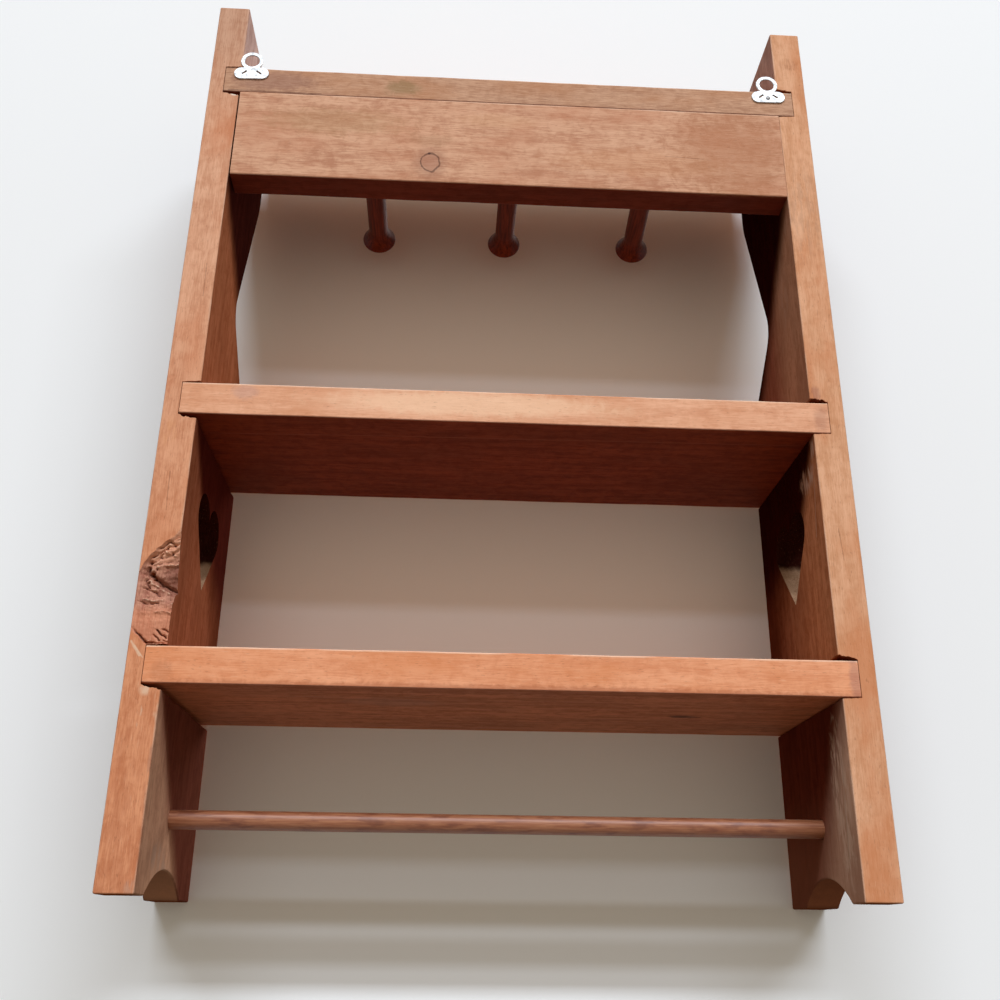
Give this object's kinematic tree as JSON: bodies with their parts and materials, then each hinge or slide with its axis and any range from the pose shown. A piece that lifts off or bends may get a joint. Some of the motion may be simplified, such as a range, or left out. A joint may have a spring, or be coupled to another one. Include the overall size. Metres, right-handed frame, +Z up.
{
  "type": "wall shelf rack",
  "caption": "Small wall rack in stained pine: shaped sides with heart cut-outs carry shelves, a peg rail and a dowel rail, and ring hangers hold it on the wall.",
  "frame": {"origin": "middle of the rack's overall width and depth, on the plane that its feet stand on", "axes": "+X to the right of someone who faces the front, +Y towards the wall, +Z up"},
  "size_m": [0.38, 0.1164, 0.541],
  "materials": {
    "stained_pine": "satin stain",
    "turned_wood": "satin varnish",
    "dowel_wood": "satin stain",
    "zinc_plate": "zinc plated",
    "nail_steel": "bright"
  },
  "bodies": {
    "rack": {"left_side": "stained_pine", "right_side": "stained_pine", "top_shelf": "stained_pine", "middle_shelf": "stained_pine", "lower_shelf": "stained_pine", "peg_rail": "stained_pine", "left_peg": "turned_wood", "middle_peg": "turned_wood", "right_peg": "turned_wood", "left_hanger": "zinc_plate", "right_hanger": "zinc_plate", "hanger_nail": "nail_steel", "top_shelf_nails": "nail_steel", "middle_shelf_nails": "nail_steel", "lower_shelf_nails": "nail_steel", "peg_rail_nails": "nail_steel"},
    "dowel": {"dowel_rail": "dowel_wood"}
  },
  "joints": [
    {"name": "dowel_turn", "type": "hinge", "parent": "rack", "child": "dowel", "pos_m": [0, 0.00525, 0.0383], "axis": [1, 0, 0], "continuous": true}
  ]
}
